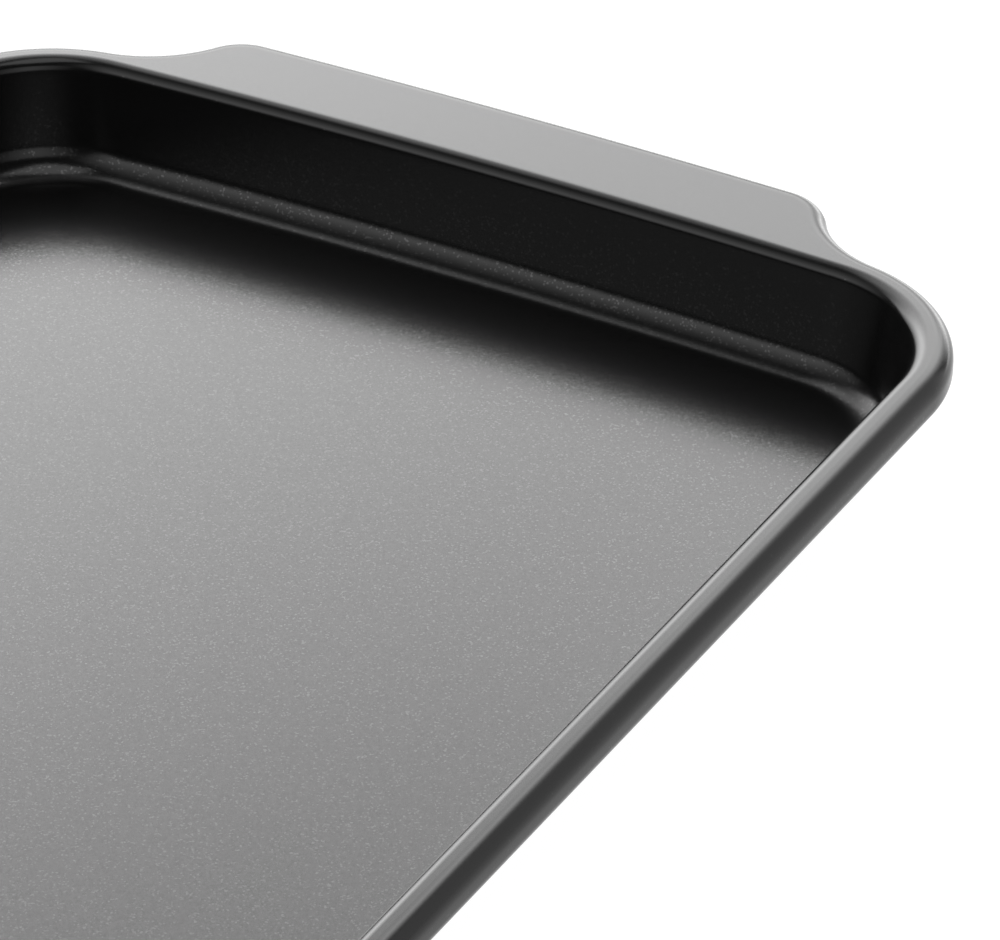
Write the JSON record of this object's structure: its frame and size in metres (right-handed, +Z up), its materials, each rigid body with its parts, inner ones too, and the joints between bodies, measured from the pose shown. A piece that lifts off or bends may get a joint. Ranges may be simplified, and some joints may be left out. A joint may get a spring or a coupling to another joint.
{
  "type": "sheet pan",
  "caption": "Shallow rectangular sheet pan with drafted walls, rounded corners, a rolled rim curled round a stiffening wire, and a flat handle tab at each short end.",
  "frame": {"origin": "centre of the flat underside, on the plane that the pan stands on", "axes": "+X across the pan, +Y along it from handle to handle, +Z up out of the tray"},
  "size_m": [0.2594, 0.4308, 0.0262],
  "materials": {
    "coated_steel": "satin near-black non-stick coating with fine pale metallic flecks, on pressed steel sheet",
    "wire_steel": "bare drawn steel wire, hidden in the rim's curl"
  },
  "bodies": {
    "root": {"pan_body": "coated_steel", "rim_wire": "wire_steel"}
  },
  "joints": []
}
